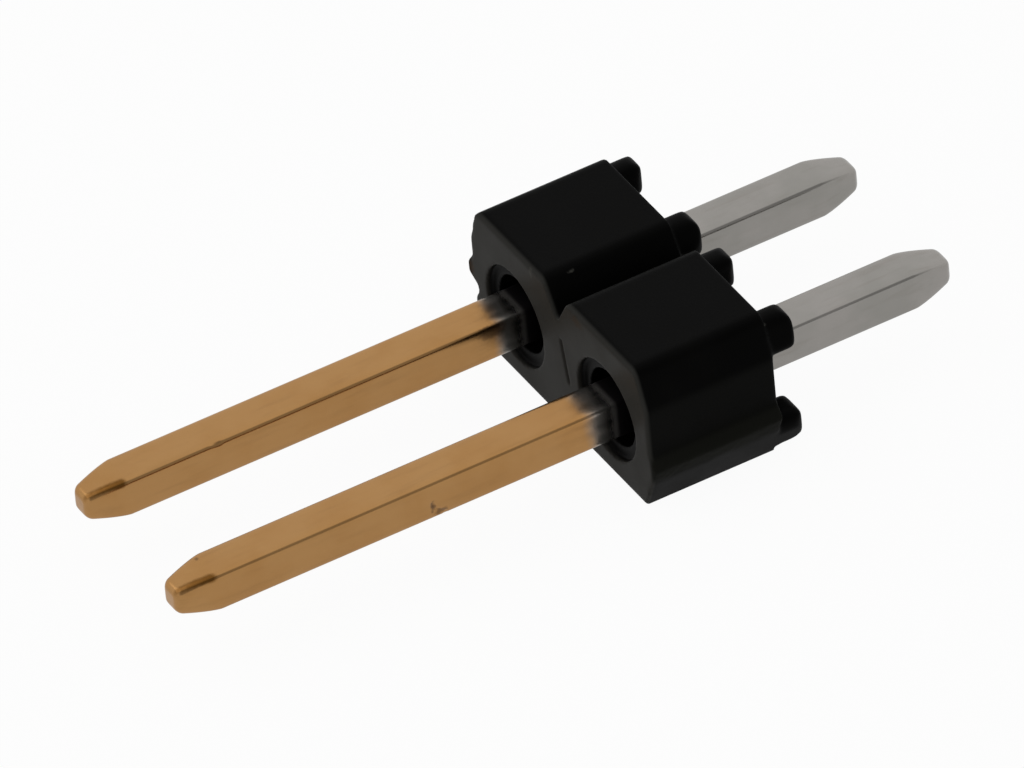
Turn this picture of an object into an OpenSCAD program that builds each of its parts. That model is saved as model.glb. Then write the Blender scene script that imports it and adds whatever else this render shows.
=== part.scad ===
// Pin header, one row of two positions, snapped from a breakaway strip and lying on its side.
// X runs along the pins from the contact tips to the solder tails, Y along the row, Z up.
// Z = 0 is the surface that the header lies on, and X = 0, Y = 0 is the middle of the whole part.

/* [Row] */
// Positions in the row
pins = 2; // [1:1:8]
// Distance between neighbouring pins
pitch = 2.54; // [2.5:0.01:2.8]

/* [Pins] */
// Side of the square wire
pin_w = 0.64; // [0.56:0.01:0.7]
// Leg of the small flat along each long edge of the wire
edge_break = 0.08; // [0.02:0.01:0.12]
// Contact length that stands out of the mating face
contact_len = 7.1; // [5:0.1:12]
// Tail length that stands out past the standoffs
tail_len = 3; // [2.5:0.1:6]
// Height of the pins' axes above the surface
pin_z = 1.14; // [1.1:0.01:1.3]

/* [Coined tips] */
// Length of the curved taper at each end of a pin
coin_len = 0.95; // [0.6:0.05:1.2]
// Width across the faces at the blunt nose
nose_w = 0.36; // [0.3:0.02:0.44]
// Width across the corners at the blunt nose
nose_corner_w = 0.38; // [0.32:0.02:0.48]
// Radius between the taper and the nose
nose_r = 0.12; // [0.06:0.01:0.14]

/* [Housing] */
// Depth of the housing body along the pins
body_depth = 2.11; // [1.8:0.01:3]
// Height of the housing body as it lies
body_h = 2.46; // [2.4:0.02:2.7]
// Half width of the flats on the top and underside of each position
flat_half = 0.92; // [0.85:0.01:0.95]
// Depth of the snap notches between positions
notch_depth = 0.56; // [0.4:0.01:0.7]
// Radius of the moulded edges along the pins
mould_r = 0.2; // [0.1:0.02:0.24]
// Radius of the mating face's upper and lower edges
face_r = 0.1; // [0.04:0.01:0.2]

/* [Ends] */
// Distance from an end pin's axis to the end wall
end_reach = 1.17; // [1.1:0.01:1.27]
// Half height of the end wall between its chamfers
wall_half = 0.6; // [0.5:0.01:0.7]
// Distance that the torn snap web stands proud of an end wall
tear = 0.15; // [0.06:0.01:0.2]
// Height of the torn ridge on the near end
ridge_z = 0.86; // [0.8:0.01:0.95]
// Height of the torn tongue's crest on the far end
tongue_z = 1.3; // [1.25:0.01:1.35]
// Thickness of the torn tongue
tongue_t = 0.18; // [0.1:0.01:0.2]
// Height that a torn web slopes over, above its crest
tear_rise = 0.2; // [0.12:0.01:0.26]
// Height of the bite that tore out below the tongue
bite_z = 0.96; // [0.93:0.01:1]
// Depth of the bite from the end wall
bite_depth = 0.14; // [0.1:0.01:0.2]
// Height of the bite's lower lip
lip_z = 0.74; // [0.67:0.01:0.78]

/* [Mating face] */
// Radius of the shallow step round each pin
step_r = 0.79; // [0.7:0.01:0.85]
// Depth of the shallow step
step_depth = 0.1; // [0.05:0.01:0.2]
// Radius of the deep bore round each pin
bore_r = 0.6; // [0.5:0.01:0.65]
// Depth of the bore from the mating face
bore_depth = 0.75; // [0.4:0.05:1]

/* [Scored line] */
// Width of the line scored between two positions
score_w = 0.06; // [0.04:0.01:0.1]
// Depth of the line from the mating face
score_depth = 0.05; // [0.02:0.01:0.1]
// Length of the line
score_len = 0.76; // [0.4:0.02:0.9]
// Height of the line's middle
score_z = 1.26; // [1.1:0.01:1.3]
// Distance of the line's middle from the seam between two positions
score_off = 0.13; // [0:0.01:0.2]
// Angle by which the line leans
score_lean = 11; // [0:1:20]

/* [Standoffs] */
// Height of the standoffs past the housing body
standoff_h = 0.45; // [0.2:0.01:0.6]
// Distance from the pin's axis to the inner side of a standoff
standoff_in = 0.54; // [0.5:0.01:0.6]
// Size of a standoff across the pins
standoff_size = 0.58; // [0.4:0.02:0.64]
// Height of the lower standoffs above the surface
standoff_lift = 0.1; // [0.05:0.01:0.3]
// Distance of the upper standoffs below the housing's top
standoff_drop = 0.12; // [0:0.01:0.2]
// Radius of the standoffs' rounded edges
standoff_r = 0.18; // [0.05:0.01:0.19]

/* [Hidden] */
$fn = 72;
arc_steps = 6;
root = 0.3; // how far a standoff is sunk in the body that carries it
past = 1; // how far a cut runs past a face

insulator_depth = body_depth + standoff_h;
pin_len = contact_len + insulator_depth + tail_len;
face_x = contact_len - pin_len / 2;
row_half = (pins - 1) * pitch / 2;
function pin_y(n) = row_half - (n - 1) * pitch;
seams = [for (n = [1:1:pins - 1]) pin_y(n) - pitch / 2];

// The point at distance r from p towards q
function toward(p, q, r) = p + (q - p) * r / norm(q - p);

// An arc of radius r in the corner p between the edges to a and b
function corner(a, p, b, r) =
    let (
        ua = toward(p, a, 1) - p,
        ub = toward(p, b, 1) - p,
        half_angle = acos(ua * ub) / 2,
        centre = toward(p, p + ua + ub, r / sin(half_angle)),
        from = p + ua * r / tan(half_angle) - centre,
        to = p + ub * r / tan(half_angle) - centre,
        sweep = 180 - 2 * half_angle
    )
    [for (i = [0:arc_steps])
        centre + (from * sin(sweep * (1 - i / arc_steps)) + to * sin(sweep * i / arc_steps)) / sin(sweep)];

// An outline with every corner rounded; each point is [x, y, radius]
function rounded(points) =
    let (n = len(points), flat = [for (p = points) [p.x, p.y]])
    [for (i = [0:n - 1])
        each corner(flat[(i + n - 1) % n], flat[i], flat[(i + 1) % n], points[i].z)];

function reversed(points) = [for (i = [len(points) - 1:-1:0]) points[i]];

// Housing outline across the pins, in Y and Z, point by point round from the far underside corner
tight_r = mould_r / 4;
wall_low = body_h / 2 - wall_half;
wall_high = body_h / 2 + wall_half;
far_wall = row_half + end_reach;

far_end = [
    [row_half + flat_half, 0, mould_r],
    [far_wall, wall_low, tight_r],
    [far_wall, lip_z, tight_r],
    [far_wall - bite_depth, bite_z, tight_r],
    [far_wall + tear, tongue_z - tongue_t, tight_r],
    [far_wall + tear, tongue_z, tight_r],
    [far_wall, tongue_z + tear_rise, tight_r],
    [far_wall, wall_high, mould_r],
    [row_half + flat_half, body_h, mould_r],
];

near_end = [
    [-row_half - flat_half, body_h, mould_r],
    [-far_wall, wall_high, mould_r],
    [-far_wall, ridge_z + tear_rise, tight_r],
    [-far_wall - tear, ridge_z, tight_r],
    [-row_half - flat_half, 0, tight_r],
];

// A snap notch crossed towards -Y in the top, or towards +Y in the underside
function notch(y, z, inward, way) = let (half = pitch / 2 - flat_half) [
    [y - way * half, z, mould_r],
    [y, z + inward * notch_depth, tight_r],
    [y + way * half, z, mould_r],
];

outline = rounded(concat(
    far_end,
    [for (y = seams) each notch(y, body_h, -1, -1)],
    near_end,
    [for (y = reversed(seams)) each notch(y, 0, 1, 1)]
));

// Draws a shape given in Y and Z, from x along X
module across(x, depth) {
    translate([x, 0, 0]) rotate([90, 0, 90]) linear_extrude(depth) children();
}

module round_rect(size, r) {
    polygon(rounded([[0, 0, r], [size.x, 0, r], [size.x, size.y, r], [0, size.y, r]]));
}

// A block whose twelve edges are all rounded, where three extruded outlines cross
module soft_block(size, r) {
    intersection() {
        linear_extrude(size.z) round_rect([size.x, size.y], r);
        translate([0, size.y, 0]) rotate([90, 0, 0]) linear_extrude(size.y) round_rect([size.x, size.z], r);
        across(0, size.x) round_rect([size.y, size.z], r);
    }
}

// The housing's bare block: its outline crossed by a side view that softens the mating face's edges
module housing_block(depth) {
    intersection() {
        across(face_x, depth) polygon(outline);
        translate([face_x, far_wall + tear, 0]) rotate([90, 0, 0]) linear_extrude(2 * (far_wall + tear))
            round_rect([depth + past, body_h], face_r);
    }
}

// The two standoffs of one position at height z, trimmed by the housing's outline moved down by the drop
module standoffs(y, z, drop) {
    intersection() {
        across(face_x, insulator_depth) translate([0, -drop]) polygon(outline);
        for (side = [y + standoff_in, y - standoff_in - standoff_size])
            translate([face_x + body_depth - root, side, z])
                soft_block([root + standoff_h, standoff_size, standoff_size], standoff_r);
    }
}

// The stepped bore round a pin and the square hole that grips it
module pin_hole(y) {
    translate([face_x, y, pin_z]) rotate([0, 90, 0]) {
        translate([0, 0, -past]) cylinder(h = past + step_depth, r = step_r);
        translate([0, 0, -past]) cylinder(h = past + bore_depth, r = bore_r);
        linear_extrude(insulator_depth) wire_section();
    }
}

// A line scored in the mating face beside a seam
module score(y) {
    translate([face_x, y - score_off, score_z]) rotate([-score_lean, 0, 0])
        cube([2 * score_depth, score_w, score_len], center = true);
}

module housing() {
    color([0.1, 0.1, 0.1])
    difference() {
        union() {
            housing_block(body_depth);
            for (n = [1:pins]) {
                standoffs(pin_y(n), standoff_lift, 0);
                standoffs(pin_y(n), body_h - standoff_drop - standoff_size, standoff_drop);
            }
        }
        for (n = [1:pins]) pin_hole(pin_y(n));
        for (y = seams) score(y);
    }
}

// The wire's square with its broken edges: the housing grips the pin by the same section
module wire_section() {
    intersection() {
        square(pin_w, center = true);
        rotate(45) square(sqrt(2) * (pin_w - edge_break), center = true);
    }
}

// Half of a tip's side view: an arc tangent to the wire, then the rounded nose
function coined_tip(wire_half, nose_half) =
    let (
        run = coin_len - nose_r,
        drop = wire_half - nose_half,
        arc_r = (run * run + drop * drop) / (2 * drop),
        arc_a = asin(run / arc_r),
        start = [pin_len / 2 - coin_len, wire_half],
        nose = [pin_len / 2 - nose_r, nose_half]
    )
    concat(
        [for (i = [0:arc_steps]) let (a = arc_a * i / arc_steps) start + arc_r * [sin(a), cos(a) - 1]],
        [for (i = [1:arc_steps]) let (a = 90 * i / arc_steps) nose + nose_r * [sin(a), cos(a) - 1]]
    );

// A view of the whole pin with the same tip at both ends, made solid and turned about the pin
module pin_view(turn, wire_half, nose_half) {
    tip = coined_tip(wire_half, nose_half);
    right = concat(tip, [for (p = reversed(tip)) [p.x, -p.y]]);
    rotate([turn, 0, 0]) linear_extrude(2 * pin_w, center = true)
        polygon(concat(right, [for (p = right) -p]));
}

// One pin: the square wire and its coined tips, where two face views cross two corner views
module pin(n) {
    corner_half = (pin_w - edge_break) / sqrt(2);
    color([0.83, 0.62, 0.3])
    translate([0, pin_y(n), pin_z])
    intersection() {
        pin_view(0, pin_w / 2, nose_w / 2);
        pin_view(90, pin_w / 2, nose_w / 2);
        pin_view(45, corner_half, nose_corner_w / 2);
        pin_view(135, corner_half, nose_corner_w / 2);
    }
}

housing();
for (n = [1:pins]) pin(n);
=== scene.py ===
"""Dresses a short pin header: a moulded insulator and its square plated pins, lying on a pale floor."""

import math

import bpy
from bpy.props import FloatProperty, FloatVectorProperty, IntProperty, PointerProperty
from mathutils import Matrix, Vector, noise


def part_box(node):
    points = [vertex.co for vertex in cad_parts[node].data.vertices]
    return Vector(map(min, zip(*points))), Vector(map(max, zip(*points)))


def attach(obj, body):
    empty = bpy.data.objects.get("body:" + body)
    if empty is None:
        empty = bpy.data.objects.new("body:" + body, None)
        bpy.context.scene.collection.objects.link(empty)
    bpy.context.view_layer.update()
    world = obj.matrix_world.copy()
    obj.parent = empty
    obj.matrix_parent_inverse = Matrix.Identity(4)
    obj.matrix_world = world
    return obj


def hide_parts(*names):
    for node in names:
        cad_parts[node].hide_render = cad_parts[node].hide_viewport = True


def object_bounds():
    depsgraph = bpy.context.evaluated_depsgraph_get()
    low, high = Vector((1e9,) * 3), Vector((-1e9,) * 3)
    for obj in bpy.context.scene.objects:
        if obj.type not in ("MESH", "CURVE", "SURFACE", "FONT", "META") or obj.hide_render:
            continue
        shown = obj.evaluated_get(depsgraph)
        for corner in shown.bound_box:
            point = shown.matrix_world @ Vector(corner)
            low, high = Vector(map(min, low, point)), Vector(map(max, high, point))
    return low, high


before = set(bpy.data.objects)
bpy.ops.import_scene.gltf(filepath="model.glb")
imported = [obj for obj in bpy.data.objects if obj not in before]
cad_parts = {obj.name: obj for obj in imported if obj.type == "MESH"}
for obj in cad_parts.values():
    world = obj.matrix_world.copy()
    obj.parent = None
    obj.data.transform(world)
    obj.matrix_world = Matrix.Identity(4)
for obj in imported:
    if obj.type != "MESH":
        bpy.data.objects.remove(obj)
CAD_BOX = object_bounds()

bl_info = {
    "name": "Pin Header",
    "version": (1, 0, 0),
    "blender": (4, 5, 0),
    "location": "3D View > Sidebar > Pin Header",
    "description": "Builds the visual model of a short pin header with its stage and camera",
    "category": "Object",
}

MM = 0.001
BODY_DEPTH = 2.11 * MM  # from the mating face to the face that the standoffs stand on
END_REACH = 1.17 * MM  # from the outer pins' axes to the end walls, without their torn webs
PINS = sorted(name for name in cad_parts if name.startswith("pin_"))
FAR_LOW, FAR_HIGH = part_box(PINS[0])
NEAR_LOW, NEAR_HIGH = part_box(PINS[-1])
WIRE = FAR_HIGH.z - FAR_LOW.z
FAR_AXIS = (FAR_LOW + FAR_HIGH) / 2
NEAR_AXIS = (NEAR_LOW + NEAR_HIGH) / 2
MATING_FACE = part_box("housing")[0].x
REAR_FACE = MATING_FACE + BODY_DEPTH
END_WALL = FAR_AXIS.y + END_REACH

# Dents in each pin, in millimetres from where its axis meets the mating face: start, end, half width and depth
DENTS = {
    PINS[0]: (((-5.08, -0.29, 0.33), (-4.98, -0.32, 0.31), 0.07, 0.012),),
    PINS[-1]: (((-3.03, -0.32, -0.06), (-2.98, -0.32, -0.17), 0.055, 0.025),
               ((-2.98, -0.32, -0.17), (-2.83, -0.32, -0.28), 0.055, 0.025)),
}

# Painted dark reflection along a contact tip's edge, standing in for the dark side of the room mirrored in its corner
# facet, from the same point: centre, reach and strength
TIP_DARK_REFLECTIONS = (
    ((-6.57, -0.27, 0.295), (0.13, 0.11, 0.09), 1.0),
    ((-6.66, -0.24, 0.28), (0.22, 0.1, 0.08), 1.0),
    ((-6.78, -0.2, 0.25), (0.24, 0.09, 0.08), 0.95),
    ((-6.9, -0.16, 0.215), (0.22, 0.08, 0.08), 0.8),
    ((-7.0, -0.13, 0.18), (0.16, 0.07, 0.08), 0.6),
)

IMAGE_SIZE = (1024, 768)
NEAR_PIN_PIXEL = (606.4, 410)  # where the near pin's axis meets the mating face in the picture
SENSOR_WIDTH = 36
KEY_DIRECTION = (-0.6, 0.35, 1.0)  # from the header's middle to the lamp
KEY_DISTANCE, KEY_SIZE = 0.12, 0.1  # metres
DARK_START, DARK_FULL = 0.5, 0.8  # cosines of the angle from the dark direction
RAGGED_SCALE = 18.0  # waves in a spot's uneven outline for one millimetre


class PinSizes(bpy.types.PropertyGroup):
    """Sizes and finish of the plated pins"""

    coin_length: FloatProperty(
        name="Coined length", description="Length of the curved taper at each end of a pin",
        default=0.66 * MM, unit="LENGTH")
    coin_curve: FloatProperty(
        name="Coined curve", description="Higher values bend the taper more, and 1 is a straight taper", default=1.3)
    nose_face_share: FloatProperty(
        name="Nose share, faces", description="Share of the width across the faces that is left at the nose",
        default=0.62)
    nose_corner_share: FloatProperty(
        name="Nose share, corners", description="Share of the width across the corners that is left at the nose",
        default=0.55)
    nose_radius: FloatProperty(
        name="Nose radius", description="Radius between the taper and the nose", default=0.1 * MM, unit="LENGTH")
    edge_break: FloatProperty(
        name="Edge break", description="Leg of the soft flat along each long edge", default=0.03 * MM, unit="LENGTH")
    edge_power: FloatProperty(
        name="Edge sharpness", description="Higher values give crisper edges between the faces", default=20)
    nose_power: FloatProperty(
        name="Nose sharpness", description="Edge sharpness that is left at the nose", default=13)
    section_points: IntProperty(
        name="Points round a pin", description="Vertices in each ring of a pin", default=72)
    gold_end: FloatProperty(
        name="Gold reach", description="Distance from the mating face at which the gold plating fades out",
        default=0.3 * MM, unit="LENGTH")
    gold: FloatVectorProperty(
        name="Gold", description="Colour of the gold plating", subtype="COLOR", default=(0.4, 0.218, 0.083))
    gold_deep: FloatVectorProperty(
        name="Deep gold", description="Colour of the gold where it is thick or stained", subtype="COLOR",
        default=(0.34, 0.165, 0.05))
    tin: FloatVectorProperty(
        name="Tin", description="Colour of the tin plating", subtype="COLOR", default=(0.3, 0.285, 0.268))
    tin_dull: FloatVectorProperty(
        name="Dull tin", description="Colour of the tin where it has dulled", subtype="COLOR",
        default=(0.235, 0.232, 0.212))
    # Stain colour, also used for a painted shade on the far pin next to the housing.
    stain_and_shade: FloatVectorProperty(
        name="Stain", description="Colour of the marks that handling and the socket leave", subtype="COLOR",
        default=(0.11, 0.06, 0.03))
    # Painted reflection: this dark colour stands in for the dark side of the room that the tips' corner facets
    # mirror.
    tip_dark_reflection: FloatVectorProperty(
        name="Worn gold", description="Colour of the gold where the coining die rubbed it", subtype="COLOR",
        default=(0.15, 0.065, 0.014))
    # Painted shade: this dark colour stands in for the shade on the pins inside the housing and just in front of it.
    painted_inside_shade: FloatVectorProperty(
        name="Sheltered plating", description="Colour of the dull plating inside the housing", subtype="COLOR",
        default=(0.009, 0.0075, 0.008))


class HousingSizes(bpy.types.PropertyGroup):
    """Sizes and finish of the moulded insulator"""

    voxel: FloatProperty(
        name="Mesh size", description="Size of the faces that the moulded surface is made of",
        default=0.025 * MM, unit="LENGTH")
    softening: IntProperty(
        name="Edge softening", description="Passes that round the moulded edges", default=4)
    end_softening: IntProperty(
        name="End softening", description="Further passes that round the snapped ends and the standoffs", default=20)
    kept_faces: FloatProperty(
        name="Kept faces", description="Share of the faces kept where the surface is flat", default=0.4)
    tear_roughness: FloatProperty(
        name="Tear roughness", description="Height of the lumps on the snapped webs",
        default=0.009 * MM, unit="LENGTH")
    plastic: FloatVectorProperty(
        name="Plastic", description="Colour of the moulded plastic", subtype="COLOR", default=(0.001, 0.001, 0.0009))
    plastic_dusty: FloatVectorProperty(
        name="Dusty plastic", description="Colour of the plastic where dust dulls it", subtype="COLOR",
        default=(0.003, 0.0028, 0.0024))
    # Painted light: this paler colour stands in for the brighter reflection of the room on the mating face and its
    # rim.
    face_painted_light: FloatVectorProperty(
        name="Matt plastic", description="Colour of the matt mating face", subtype="COLOR",
        default=(0.029, 0.0284, 0.0258))
    plastic_torn: FloatVectorProperty(
        name="Torn plastic", description="Colour of the plastic that snapping stressed", subtype="COLOR",
        default=(0.0075, 0.0077, 0.006))
    # Colour of the pale specks, also used for a painted highlight on one standoff.
    speck_and_glint: FloatVectorProperty(
        name="Speck", description="Colour of the pale specks of dust and flash", subtype="COLOR",
        default=(0.07, 0.068, 0.06))
    # Brown colour of the patches on the far torn web and at the near cell's far corner.
    brown_tint: FloatVectorProperty(
        name="Residue", description="Colour of the brown residue on the torn webs", subtype="COLOR",
        default=(0.03, 0.018, 0.009))


class StageSettings(bpy.types.PropertyGroup):
    """Floor, light and camera"""

    floor_colour: FloatVectorProperty(
        name="Floor", description="Colour of the floor", subtype="COLOR", default=(0.9, 0.9, 0.9))
    floor_shown: FloatProperty(
        name="Floor shown white", description="Share of plain white in the floor that the camera sees", default=0.95)
    floor_mirrored: FloatProperty(
        name="Floor mirrored white", description="Share of plain white in the floor that glossy surfaces mirror",
        default=0.75)
    world_level: FloatProperty(
        name="Room light", description="Level of the soft light from all round", default=0.55)
    dark_level: FloatProperty(
        name="Dark side", description="Level of the unlit side of the room that glossy surfaces mirror", default=0.45)
    dark_direction: FloatVectorProperty(
        name="Dark direction", description="Direction of the unlit side of the room", default=(0, -0.88, 0.47))
    key_power: FloatProperty(
        name="Key lamp", description="Power of the large soft lamp", default=0.02, unit="POWER")
    pixels_per_mm: FloatProperty(
        name="Scale in the picture", description="Pixels of the picture for one millimetre", default=71.2)
    azimuth: FloatProperty(
        name="Camera azimuth", description="Angle of the camera round the header", subtype="ANGLE",
        default=math.radians(-26.98))
    elevation: FloatProperty(
        name="Camera elevation", description="Angle of the camera above the floor", subtype="ANGLE",
        default=math.radians(39.13))
    roll: FloatProperty(
        name="Camera roll", description="Tilt of the picture about its centre", subtype="ANGLE",
        default=math.radians(-5.5))
    lens: FloatProperty(
        name="Lens", description="Focal length in millimetres", default=1000)


def settings(group):
    """The values of one property group."""
    return getattr(bpy.context.scene, group)


def colour(values):
    """A colour at full opacity."""
    return (*values, 1)


def finished_mesh(name, vertices, faces):
    """A smooth-shaded mesh object in the scene."""
    mesh = bpy.data.meshes.new(name)
    mesh.from_pydata(vertices, [], faces)
    mesh.validate()
    mesh.shade_smooth()
    piece = bpy.data.objects.new(name, mesh)
    bpy.context.scene.collection.objects.link(piece)
    return piece


def dress(piece, node, material):
    """Puts a finished piece in the place of its CAD node."""
    piece.data.materials.clear()
    piece.data.materials.append(material)
    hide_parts(node)
    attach(piece, "root")


# Shader nodes

class Nodes:
    """Short ways to add and join the nodes of one tree."""

    def __init__(self, tree):
        self.tree = tree

    def add(self, kind, options=(), **inputs):
        """Adds a node, sets its options, and fills its inputs with values or sockets."""
        node = self.tree.nodes.new(kind)
        for option, value in dict(options).items():
            setattr(node, option, value)
        for title, value in inputs.items():
            self.fill(node.inputs[title.replace("_", " ")], value)
        return node

    def fill(self, socket, value):
        """Joins a socket to an output, or gives it a value."""
        if isinstance(value, bpy.types.NodeSocket):
            self.tree.links.new(value, socket)
        else:
            socket.default_value = value

    def math(self, operation, *values):
        """A number worked out from others."""
        node = self.add("ShaderNodeMath", {"operation": operation})
        for socket, value in zip(node.inputs, values):
            self.fill(socket, value)
        return node.outputs[0]

    def vector_math(self, operation, *values):
        """A vector, length or product worked out from vectors."""
        node = self.add("ShaderNodeVectorMath", {"operation": operation})
        for socket, value in zip(node.inputs, values):
            self.fill(socket, value)
        return node.outputs["Value" if operation in ("LENGTH", "DOT_PRODUCT") else "Vector"]

    def ramp(self, value, low, high, to_low=0.0, to_high=1.0):
        """A smooth step of value, from to_low at low to to_high at high."""
        node = self.add("ShaderNodeMapRange", {"interpolation_type": "SMOOTHSTEP"})
        for title, number in zip(("Value", "From Min", "From Max", "To Min", "To Max"),
                                 (value, low, high, to_low, to_high)):
            self.fill(node.inputs[title], number)
        return node.outputs["Result"]

    def level(self, factor, first, second):
        """A mix of two numbers."""
        node = self.add("ShaderNodeMix", {"data_type": "FLOAT"})
        for socket, value in zip(node.inputs, (factor, None, first, second)):
            if value is not None:
                self.fill(socket, value)
        return node.outputs["Result"]

    def blend(self, factor, first, second):
        """A mix of two colours."""
        node = self.add("ShaderNodeMix", {"data_type": "RGBA"})
        self.fill(node.inputs["Factor"], factor)
        self.fill(node.inputs["A"], first)
        self.fill(node.inputs["B"], second)
        return node.outputs["Result"]

    def group(self, tree, **inputs):
        """Places a node group, with values or sockets for its inputs, and gives its outputs."""
        return self.add("ShaderNodeGroup", {"node_tree": tree}, **inputs).outputs

    def millimetres(self):
        """Place on the piece, in millimetres of the shared frame."""
        place = self.add("ShaderNodeTexCoord").outputs["Object"]
        return self.vector_math("MULTIPLY", place, (1 / MM, 1 / MM, 1 / MM))

    def ray_kinds(self):
        """Whether a ray comes from the camera, and whether it was mirrored or went through something."""
        rays = self.add("ShaderNodeLightPath").outputs
        return rays["Is Camera Ray"], self.math("MAXIMUM", rays["Is Glossy Ray"], rays["Is Transmission Ray"])


def blank_nodes(owner):
    """The emptied node tree of a material or the world."""
    owner.use_nodes = True
    owner.node_tree.nodes.clear()
    return Nodes(owner.node_tree)


def new_group(name, inputs, outputs):
    """A shader node group with named sockets: its nodes, its inputs and its output node."""
    group = bpy.data.node_groups.new(name, "ShaderNodeTree")
    for title, kind, default in inputs:
        socket = group.interface.new_socket(title, in_out="INPUT", socket_type=kind)
        if default is not None:
            socket.default_value = default
    for title, kind in outputs:
        group.interface.new_socket(title, in_out="OUTPUT", socket_type=kind)
    nodes = Nodes(group)
    return group, nodes, nodes.add("NodeGroupInput").outputs, nodes.add("NodeGroupOutput")


def mottle_group():
    """Cloudy variation and fine grain, for the plastic and the plating alike."""
    group, nodes, given, out = new_group(
        "Surface mottle",
        [("Place", "NodeSocketVector", None), ("Cloud size", "NodeSocketFloat", 1.0),
         ("Grain size", "NodeSocketFloat", 0.05)],
        [("Cloud", "NodeSocketFloat"), ("Grain", "NodeSocketFloat")])
    for title in ("Cloud", "Grain"):
        scale = nodes.math("DIVIDE", 1.0, given[f"{title} size"])
        texture = nodes.add("ShaderNodeTexNoise", Vector=given["Place"], Scale=scale, Detail=3.0, Roughness=0.6)
        nodes.fill(out.inputs[title], texture.outputs["Fac"])
    return group


def spot_group():
    """A soft-edged spot at a place on the surface, such as a speck, stain or nick."""
    group, nodes, given, out = new_group(
        "Surface spot",
        [("Place", "NodeSocketVector", None), ("Centre", "NodeSocketVector", None),
         ("Reach", "NodeSocketVector", (0.1, 0.1, 0.1)), ("Strength", "NodeSocketFloat", 1.0),
         ("Raggedness", "NodeSocketFloat", 0.2)],
        [("Mask", "NodeSocketFloat")])
    offset = nodes.vector_math("SUBTRACT", given["Place"], given["Centre"])
    distance = nodes.vector_math("LENGTH", nodes.vector_math("DIVIDE", offset, given["Reach"]))
    ragged = nodes.add("ShaderNodeTexNoise", Vector=given["Place"], Scale=RAGGED_SCALE, Detail=2.0).outputs["Fac"]
    uneven = nodes.math("MULTIPLY", nodes.ramp(ragged, 0.3, 0.7, -1.0, 1.0), given["Raggedness"])
    covered = nodes.ramp(nodes.math("ADD", distance, uneven), 0.3, 1.0, 1.0, 0.0)
    nodes.fill(out.inputs["Mask"], nodes.math("MULTIPLY", covered, given["Strength"]))
    return group


def shared_group(name):
    """A shader node group that several materials use, built once."""
    makers = {"Surface mottle": mottle_group, "Surface spot": spot_group}
    return bpy.data.node_groups.get(name) or makers[name]()


def spotted(nodes, surface, place, spots, raggedness=0.2):
    """A surface colour with spots, each given as centre and reach in millimetres, strength and colour."""
    for centre, reach, strength, spot_colour in spots:
        mask = nodes.group(shared_group("Surface spot"), Place=place, Centre=centre, Reach=reach, Strength=strength,
                           Raggedness=raggedness)
        surface = nodes.blend(mask["Mask"], surface, colour(spot_colour))
    return surface


def seen_from(axis, along, across, up):
    """A place in millimetres, from where a pin's axis meets the mating face."""
    return (MATING_FACE / MM + along, axis.y / MM + across, axis.z / MM + up)


def new_material(name):
    """An empty material with its nodes and its Principled BSDF."""
    material = bpy.data.materials.new(name)
    nodes = blank_nodes(material)
    shader = nodes.add("ShaderNodeBsdfPrincipled")
    nodes.add("ShaderNodeOutputMaterial", Surface=shader.outputs["BSDF"])
    return material, nodes, shader


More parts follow.
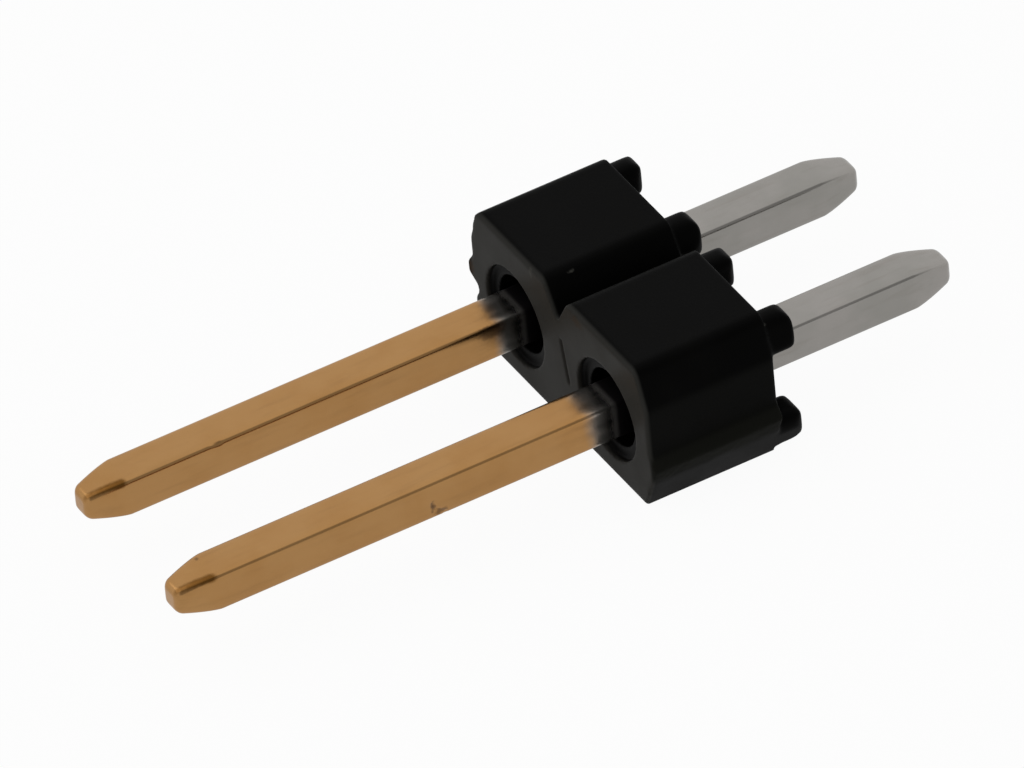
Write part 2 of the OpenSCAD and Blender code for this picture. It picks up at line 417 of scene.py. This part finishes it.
def plated_material():
    """Gold on the contact half and tin on the solder half, with die lines, a few stains, painted dark reflections on
    the tips and painted shade inside the housing.
    """
    pin = settings("pin_header_pins")
    material, nodes, shader = new_material("plated pin")
    mottle = shared_group("Surface mottle")
    place = nodes.millimetres()
    along = nodes.add("ShaderNodeSeparateXYZ", Vector=place).outputs["X"]
    clouds = nodes.group(mottle, Place=place, Cloud_size=0.8, Grain_size=0.03)
    stretched = nodes.vector_math("MULTIPLY", place, (0.12, 1, 1))
    streaks = nodes.group(mottle, Place=stretched, Cloud_size=0.12, Grain_size=0.025)

    fade = (MATING_FACE - pin.gold_end) / MM
    wander, before, after = 0.06, 0.24, 0.05  # millimetres: how uneven the gold's end is, and its fade on each side
    wavy = nodes.math("ADD", along, nodes.ramp(clouds["Cloud"], 0.3, 0.7, -wander, wander))
    tinned = nodes.ramp(wavy, fade - before, fade + after)
    gold = nodes.blend(nodes.ramp(clouds["Cloud"], 0.35, 0.75, 0.0, 0.4), colour(pin.gold), colour(pin.gold_deep))
    tin = nodes.blend(nodes.ramp(clouds["Cloud"], 0.3, 0.7, 0.0, 0.5), colour(pin.tin), colour(pin.tin_dull))
    plating = nodes.blend(tinned, gold, tin)
    plating = nodes.blend(nodes.ramp(streaks["Cloud"], 0.5, 0.85, 0.0, 0.15), plating, colour(pin.stain_and_shade))
    half = WIRE / MM / 2
    # Painted dark reflections on both tips, standing in for the dark side of the room mirrored in their corner
    # facets.
    tip_reflection_spots = [(seen_from(axis, *place_on_tip), reach, strength, pin.tip_dark_reflection)
               for axis in (FAR_AXIS, NEAR_AXIS) for place_on_tip, reach, strength in TIP_DARK_REFLECTIONS]
    plating = spotted(nodes, plating, place, tip_reflection_spots, raggedness=0.05)
    # Spots: the first two darken the dent in the near pin, the third is a small dot on its tip, the fourth darkens
    # the dent in the far pin, and the last is painted shade on the far pin's side facing the near pin, next to the
    # housing.
    plating = spotted(nodes, plating, place, [
        (seen_from(NEAR_AXIS, -3.02, -half, -0.1), (0.06, 0.1, 0.12), 0.9, pin.stain_and_shade),
        (seen_from(NEAR_AXIS, -2.91, -half, -0.22), (0.14, 0.1, 0.07), 0.7, pin.stain_and_shade),
        (seen_from(NEAR_AXIS, -6.53, 0.2, half), (0.04, 0.05, 0.06), 0.6, pin.stain_and_shade),
        (seen_from(FAR_AXIS, -5.03, -half, half), (0.12, 0.06, 0.06), 0.5, pin.stain_and_shade),
        (seen_from(FAR_AXIS, -0.55, -half, 0.2), (0.3, 0.1, 0.16), 0.7, pin.stain_and_shade),
    ])
    # Painted shade: the plating darkens from just before the mating face to the rear face, standing in for the shade
    # inside the housing, and the roughness there also rises.
    past_front = nodes.ramp(along, MATING_FACE / MM - 0.14, MATING_FACE / MM + 0.04)
    short_of_rear = nodes.ramp(along, REAR_FACE / MM - 0.1, REAR_FACE / MM + 0.06, 1.0, 0.0)
    painted_inside_shade = nodes.math("MULTIPLY", past_front, short_of_rear)
    plating = nodes.blend(painted_inside_shade, plating, colour(pin.painted_inside_shade))
    nodes.fill(shader.inputs["Base Color"], plating)
    satin = nodes.ramp(streaks["Cloud"], 0.3, 0.7, 0.17, 0.25)
    nodes.fill(shader.inputs["Roughness"], nodes.level(painted_inside_shade, satin, 0.6))
    shader.inputs["Metallic"].default_value = 1.0

    height = nodes.math("ADD", nodes.math("MULTIPLY", streaks["Grain"], 0.6), clouds["Grain"])
    bump = nodes.add("ShaderNodeBump", Strength=0.15, Distance=0.003 * MM, Height=height)
    nodes.fill(shader.inputs["Normal"], bump.outputs["Normal"])
    return material


def plastic_material():
    """Near-black moulded plastic with a fine grain, cloudy gloss, pale specks, a painted glint, brown patches and
    painted light on the mating face.
    """
    housing = settings("pin_header_housing")
    material, nodes, shader = new_material("moulded plastic")
    mottle = shared_group("Surface mottle")
    place = nodes.millimetres()
    clouds = nodes.group(mottle, Place=place, Cloud_size=1.1, Grain_size=0.035)
    dusty = nodes.ramp(clouds["Cloud"], 0.45, 0.75, 0.0, 0.4)
    plastic = nodes.blend(dusty, colour(housing.plastic), colour(housing.plastic_dusty))
    sides = nodes.add("ShaderNodeSeparateXYZ", Vector=place).outputs
    # Painted light: the mating face and its rim are given a paler colour that stands in for the brighter reflection
    # of the room there.
    matt = nodes.ramp(sides["X"], MATING_FACE / MM + 0.02, MATING_FACE / MM + 0.08, 1.0, 0.0)
    torn = nodes.ramp(nodes.math("ABSOLUTE", sides["Y"]), END_WALL / MM - 0.03, END_WALL / MM + 0.07)
    plastic = nodes.blend(matt, plastic, colour(housing.face_painted_light))
    plastic = nodes.blend(torn, plastic, colour(housing.plastic_torn))
    # Pale specks, the third a painted highlight where the standoff meets the rear face, then brown patches on the far
    # torn web and at the near cell's far corner.
    plastic = spotted(nodes, plastic, place, (
        (seen_from(FAR_AXIS, 0.46, -0.97, 1.26), (0.07, 0.04, 0.045), 0.8, housing.speck_and_glint),
        (seen_from(FAR_AXIS, 0.02, -0.6, 1.2), (0.06, 0.06, 0.1), 0.5, housing.speck_and_glint),
        (seen_from(NEAR_AXIS, 2.13, -0.94, 1.18), (0.05, 0.04, 0.05), 0.7, housing.speck_and_glint),
        (seen_from(FAR_AXIS, 0.1, 1.22, 0.12), (0.4, 0.16, 0.2), 0.8, housing.brown_tint),
        (seen_from(NEAR_AXIS, 0.03, 0.66, 1.14), (0.2, 0.22, 0.12), 0.6, housing.brown_tint),
    ))
    nodes.fill(shader.inputs["Base Color"], plastic)
    gloss = nodes.ramp(clouds["Cloud"], 0.3, 0.7, 0.4, 0.5)
    nodes.fill(shader.inputs["Roughness"], nodes.level(torn, gloss, 0.7))
    shader.inputs["IOR"].default_value = 1.1
    bump = nodes.add("ShaderNodeBump", Strength=0.3, Distance=0.005 * MM, Height=clouds["Grain"])
    nodes.fill(shader.inputs["Normal"], bump.outputs["Normal"])
    return material


# Pins

def pin_section(pin, reach):
    """Half widths across faces and corners, and edge sharpness, at a distance from a pin's end."""
    tapered = max(1 - reach / pin.coin_length, 0) ** pin.coin_curve
    on_nose = max(1 - reach / pin.nose_radius, 0)
    rounding = pin.nose_radius * (1 - math.sqrt(1 - on_nose ** 2))
    face = WIRE / 2 * (1 - (1 - pin.nose_face_share) * tapered)
    corner = (WIRE - pin.edge_break) / math.sqrt(2) * (1 - (1 - pin.nose_corner_share) * tapered)
    power = pin.edge_power + (pin.nose_power - pin.edge_power) * tapered
    return face - rounding, corner - rounding, power


def pin_ring(face_half, corner_half, power, count):
    """Points round a pin: a square with soft corner flats, finest at the corners."""
    crowding = 0.75  # 0 spaces the points evenly, and below 1 they crowd towards the corners
    for i in range(count):
        turn = 2 * math.pi * i / count
        angle = turn + crowding / 4 * math.sin(4 * turn)
        pull = 0
        for side in range(8):
            half = corner_half if side % 2 else face_half
            pull += max(math.cos(angle - side * math.pi / 4) / half, 0) ** power
        radius = pull ** (-1 / power)
        yield radius * math.cos(angle), radius * math.sin(angle)


def dented(place, axis, dents):
    """A place on a pin's skin, pressed towards its axis where a dent crosses it."""
    for start, end, half_width, depth in dents:
        start, end = (Vector(seen_from(axis, *point)) * MM for point in (start, end))
        run = end - start
        share = min(max((place - start).dot(run) / run.dot(run), 0), 1)
        off = (place - start - run * share).length / (half_width * MM)
        if off < 1:
            inward = Vector((0, axis.y - place.y, axis.z - place.z)).normalized()
            place = place + inward * depth * MM * (1 - off * off) ** 2
    return place


def pin_reaches(pin, length):
    """Distances of a pin's rings from its end, close together on the nose and along the taper."""
    nose_steps, taper_steps, wire_steps = 10, 32, 400
    nose = [pin.nose_radius * (1 - math.cos(math.pi / 2 * i / nose_steps)) for i in range(nose_steps)]
    taper_run = pin.coin_length - pin.nose_radius
    taper = [pin.nose_radius + taper_run * i / taper_steps for i in range(taper_steps)]
    wire_run = length - 2 * pin.coin_length
    wire = [pin.coin_length + wire_run * i / wire_steps for i in range(wire_steps + 1)]
    return nose + taper + wire + [length - reach for reach in reversed(nose + taper)]


def build_pin(name, low, high, dents):
    """One pin as a single closed skin from nose to nose."""
    pin = settings("pin_header_pins")
    axis = (low + high) / 2
    length = high.x - low.x
    count = pin.section_points
    cap_share = 0.5  # size of the ring that is added on each flat end
    vertices, faces = [], []
    for reach in pin_reaches(pin, length):
        for y, z in pin_ring(*pin_section(pin, min(reach, length - reach)), count):
            vertices.append(dented(Vector((low.x + reach, axis.y + y, axis.z + z)), axis, dents))
    rings = len(vertices) // count
    for ring in range(rings - 1):
        for i in range(count):
            a, b = ring * count + i, ring * count + (i + 1) % count
            faces.append((a, a + count, b + count, b))
    for first, x, flip in ((0, low.x, False), ((rings - 1) * count, high.x, True)):
        inner = len(vertices)
        for i in range(count):
            _, y, z = vertices[first + i]
            vertices.append((x, axis.y + (y - axis.y) * cap_share, axis.z + (z - axis.z) * cap_share))
        centre = len(vertices)
        vertices.append((x, axis.y, axis.z))
        for i in range(count):
            j = (i + 1) % count
            quad = (first + i, first + j, inner + j, inner + i)
            tri = (inner + i, inner + j, centre)
            faces += [tuple(reversed(quad)), tuple(reversed(tri))] if flip else [quad, tri]
    return finished_mesh(name, vertices, faces)


class PINHEADER_OT_pins(bpy.types.Operator):
    """Build the plated pins with their coined tips"""

    bl_idname = "pin_header.pins"
    bl_label = "Build Pins"

    def execute(self, context):
        material = plated_material()
        for node in PINS:
            piece = build_pin(f"plated_{node}", *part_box(node), DENTS.get(node, ()))
            dress(piece, node, material)
        return {"FINISHED"}


# Housing

def bake_modifiers(piece):
    """Applies a piece's modifiers to its mesh."""
    graph = bpy.context.evaluated_depsgraph_get()
    baked = bpy.data.meshes.new_from_object(piece.evaluated_get(graph))
    piece.modifiers.clear()
    piece.data = baked


def add_softening(piece, name, passes):
    """Adds a modifier that rounds a piece's edges, for all of it until it is given a vertex group."""
    smooth = piece.modifiers.new(name, "SMOOTH")
    smooth.factor = 0.5
    smooth.iterations = passes
    return smooth


def softened_copy(node, name):
    """The moulding's own mesh again, evenly meshed, with every edge slightly rounded."""
    housing = settings("pin_header_housing")
    piece = bpy.data.objects.new(name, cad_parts[node].data.copy())
    bpy.context.scene.collection.objects.link(piece)
    weld = piece.modifiers.new("Weld", "WELD")
    weld.merge_threshold = 0.0001 * MM
    remesh = piece.modifiers.new("Even mesh", "REMESH")
    remesh.mode = "VOXEL"
    remesh.voxel_size = housing.voxel
    add_softening(piece, "Soft edges", housing.softening)
    bake_modifiers(piece)
    return piece


def soften_ends(piece):
    """Rounds the standoffs further, and the end walls where the strip was snapped."""
    snapped, standing = END_WALL - 0.12 * MM, REAR_FACE + 0.06 * MM
    ends = piece.vertex_groups.new(name="ends")
    ends.add([v.index for v in piece.data.vertices if abs(v.co.y) > snapped or v.co.x > standing], 1, "REPLACE")
    add_softening(piece, "Soft ends", settings("pin_header_housing").end_softening).vertex_group = ends.name
    bake_modifiers(piece)
    piece.vertex_groups.clear()


def roughen_tears(piece):
    """Lumps on the snapped webs that stand proud of the end walls."""
    housing = settings("pin_header_housing")
    coarse, fine, onset = 0.3 * MM, 0.09 * MM, 0.05 * MM  # sizes of the lumps, and where they reach full height
    for vertex in piece.data.vertices:
        proud = abs(vertex.co.y) - END_WALL
        if proud > 0:
            lump = noise.noise(vertex.co / coarse) + 0.3 * noise.noise(vertex.co / fine)
            vertex.co += vertex.normal * lump * housing.tear_roughness * min(proud / onset, 1)


class PINHEADER_OT_housing(bpy.types.Operator):
    """Build the moulded insulator"""

    bl_idname = "pin_header.housing"
    bl_label = "Build Housing"

    def execute(self, context):
        housing = settings("pin_header_housing")
        piece = softened_copy("housing", "moulded_housing")
        soften_ends(piece)
        roughen_tears(piece)
        thin = piece.modifiers.new("Fewer faces", "DECIMATE")
        thin.ratio = housing.kept_faces
        bake_modifiers(piece)
        piece.data.shade_smooth()
        dress(piece, "housing", plastic_material())
        return {"FINISHED"}


# Stage

def build_floor():
    """A wide pale floor that keeps the header's shadow, shown whiter to the camera and to glossy surfaces."""
    stage = settings("pin_header_stage")
    reach = 2.0
    floor = finished_mesh(
        "floor", [(-reach, -reach, 0), (reach, -reach, 0), (reach, reach, 0), (-reach, reach, 0)], [(0, 1, 2, 3)])
    material = bpy.data.materials.new("pale floor")
    nodes = blank_nodes(material)
    shown, mirrored = nodes.ray_kinds()
    share = nodes.math("MAXIMUM", nodes.math("MULTIPLY", shown, stage.floor_shown),
                       nodes.math("MULTIPLY", mirrored, stage.floor_mirrored))
    matt = nodes.add("ShaderNodeBsdfDiffuse", Color=colour(stage.floor_colour))
    white = nodes.add("ShaderNodeEmission", Color=colour((1, 1, 1)), Strength=1.0)
    mix = nodes.add("ShaderNodeMixShader")
    for socket, value in zip(mix.inputs, (share, matt.outputs[0], white.outputs[0])):
        nodes.fill(socket, value)
    nodes.add("ShaderNodeOutputMaterial", Surface=mix.outputs[0])
    floor.data.materials.append(material)


def build_world():
    """Even room light, shown as white, with an unlit side that only glossy surfaces mirror."""
    stage = settings("pin_header_stage")
    world = bpy.data.worlds.new("studio")
    bpy.context.scene.world = world
    nodes = blank_nodes(world)
    direction = nodes.add("ShaderNodeTexCoord").outputs["Generated"]
    towards_dark = nodes.vector_math("DOT_PRODUCT", direction, Vector(stage.dark_direction).normalized())
    mirrored_level = nodes.ramp(towards_dark, DARK_START, DARK_FULL, 1.0, stage.dark_level)
    shown, mirrored = nodes.ray_kinds()
    strength = nodes.level(mirrored, stage.world_level, mirrored_level)
    strength = nodes.level(shown, strength, 1.0)
    background = nodes.add("ShaderNodeBackground", Color=colour((1, 1, 1)), Strength=strength)
    nodes.add("ShaderNodeOutputWorld", Surface=background.outputs[0])


def build_lamp(name, direction, distance, size, power):
    """One square soft lamp turned to the header."""
    lamp = bpy.data.lights.new(name, "AREA")
    lamp.shape = "SQUARE"
    lamp.size = size
    lamp.energy = power
    holder = bpy.data.objects.new(name, lamp)
    bpy.context.scene.collection.objects.link(holder)
    away = Vector(direction).normalized()
    holder.location = (CAD_BOX[0] + CAD_BOX[1]) / 2 + away * distance
    holder.rotation_mode = "QUATERNION"
    holder.rotation_quaternion = (-away).to_track_quat("-Z", "Y")


def camera_axes():
    """Right, up and backward directions of the camera."""
    stage = settings("pin_header_stage")
    a, e = stage.azimuth, stage.elevation
    back = Vector((math.sin(a) * math.cos(e), -math.cos(a) * math.cos(e), math.sin(e)))
    level = Vector((math.cos(a), math.sin(a), 0))
    upright = back.cross(level)
    right = level * math.cos(stage.roll) + upright * math.sin(stage.roll)
    return right, back.cross(right), back


def build_camera():
    """A long lens that sees the near pin enter the housing at the same point as the photograph."""
    stage = settings("pin_header_stage")
    right, up, back = camera_axes()
    entry = Vector((MATING_FACE, NEAR_AXIS.y, NEAR_AXIS.z))
    pixel = MM / stage.pixels_per_mm
    across = (IMAGE_SIZE[0] / 2 - NEAR_PIN_PIXEL[0]) * pixel
    down = (IMAGE_SIZE[1] / 2 - NEAR_PIN_PIXEL[1]) * pixel
    distance = IMAGE_SIZE[0] * pixel * stage.lens / SENSOR_WIDTH
    lens = bpy.data.cameras.new("camera")
    lens.sensor_width = SENSOR_WIDTH
    lens.lens = stage.lens
    lens.clip_start, lens.clip_end = distance * 0.01, distance * 100
    camera = bpy.data.objects.new("camera", lens)
    bpy.context.scene.collection.objects.link(camera)
    place = entry + right * across - up * down + back * distance
    camera.matrix_world = Matrix.Translation(place) @ Matrix((right, up, back)).transposed().to_4x4()
    bpy.context.scene.camera = camera


class PINHEADER_OT_stage(bpy.types.Operator):
    """Build the floor, the light and the camera"""

    bl_idname = "pin_header.stage"
    bl_label = "Build Stage"

    def execute(self, context):
        stage = settings("pin_header_stage")
        build_floor()
        build_world()
        build_lamp("key_lamp", KEY_DIRECTION, KEY_DISTANCE, KEY_SIZE, stage.key_power)
        build_camera()
        context.scene.view_settings.view_transform = "Standard"
        return {"FINISHED"}


class PINHEADER_PT_panel(bpy.types.Panel):
    """Lists the header's builders and sizes"""

    bl_idname = "PINHEADER_PT_panel"
    bl_label = "Pin Header"
    bl_space_type = "VIEW_3D"
    bl_region_type = "UI"
    bl_category = "Pin Header"

    def draw(self, context):
        layout = self.layout
        for operator, group in BUILDERS:
            layout.operator(operator.bl_idname)
            values = settings(group)
            for title in values.__annotations__:
                layout.prop(values, title)


BUILDERS = (
    (PINHEADER_OT_stage, "pin_header_stage"),
    (PINHEADER_OT_housing, "pin_header_housing"),
    (PINHEADER_OT_pins, "pin_header_pins"),
)
GROUPS = {"pin_header_pins": PinSizes, "pin_header_housing": HousingSizes, "pin_header_stage": StageSettings}
CLASSES = (*GROUPS.values(), PINHEADER_OT_stage, PINHEADER_OT_housing, PINHEADER_OT_pins, PINHEADER_PT_panel)


def register():
    for each in CLASSES:
        bpy.utils.register_class(each)
    for name, group in GROUPS.items():
        setattr(bpy.types.Scene, name, PointerProperty(type=group))


def unregister():
    for name in GROUPS:
        delattr(bpy.types.Scene, name)
    for each in reversed(CLASSES):
        bpy.utils.unregister_class(each)


def main():
    register()
    bpy.ops.pin_header.stage()
    bpy.ops.pin_header.housing()
    bpy.ops.pin_header.pins()


if __name__ == "__main__":
    main()
